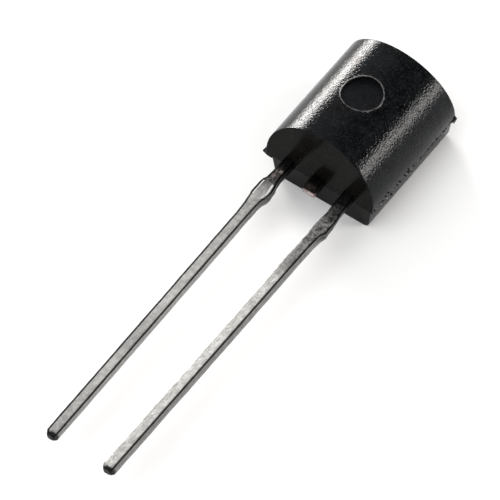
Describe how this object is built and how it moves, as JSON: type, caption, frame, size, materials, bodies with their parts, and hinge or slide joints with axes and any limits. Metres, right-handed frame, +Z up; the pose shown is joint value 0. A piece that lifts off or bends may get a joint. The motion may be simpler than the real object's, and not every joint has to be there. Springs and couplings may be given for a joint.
{
  "type": "ptc thermistor",
  "caption": "Moulded silicon PTC temperature sensor with a round back, a flat side and two long tinned leads.",
  "frame": {"origin": "middle of the flat side, on which the part lies", "axes": "+Z up from the flat side to the round back, +Y along the body away from the leads, +X across the two leads"},
  "size_m": [0.0046, 0.0197, 0.0037],
  "materials": {
    "moulding_epoxy": "satin black epoxy, finely spark-eroded mould surface",
    "tinned_lead": "matt tin plate over copper alloy",
    "centre_lead_metal": "copper alloy, thinly tinned outside and bare at the cut",
    "silicon": "polished silicon",
    "solder": "dull solder",
    "gold_wire": "drawn gold"
  },
  "bodies": {
    "root": {"moulded_body": "moulding_epoxy", "lead_left": "tinned_lead", "lead_right": "tinned_lead", "chip_pad_lead": "centre_lead_metal", "sensor_chip": "silicon", "die_attach": "solder", "bond_wire_left": "gold_wire", "bond_wire_right": "gold_wire"}
  },
  "joints": []
}
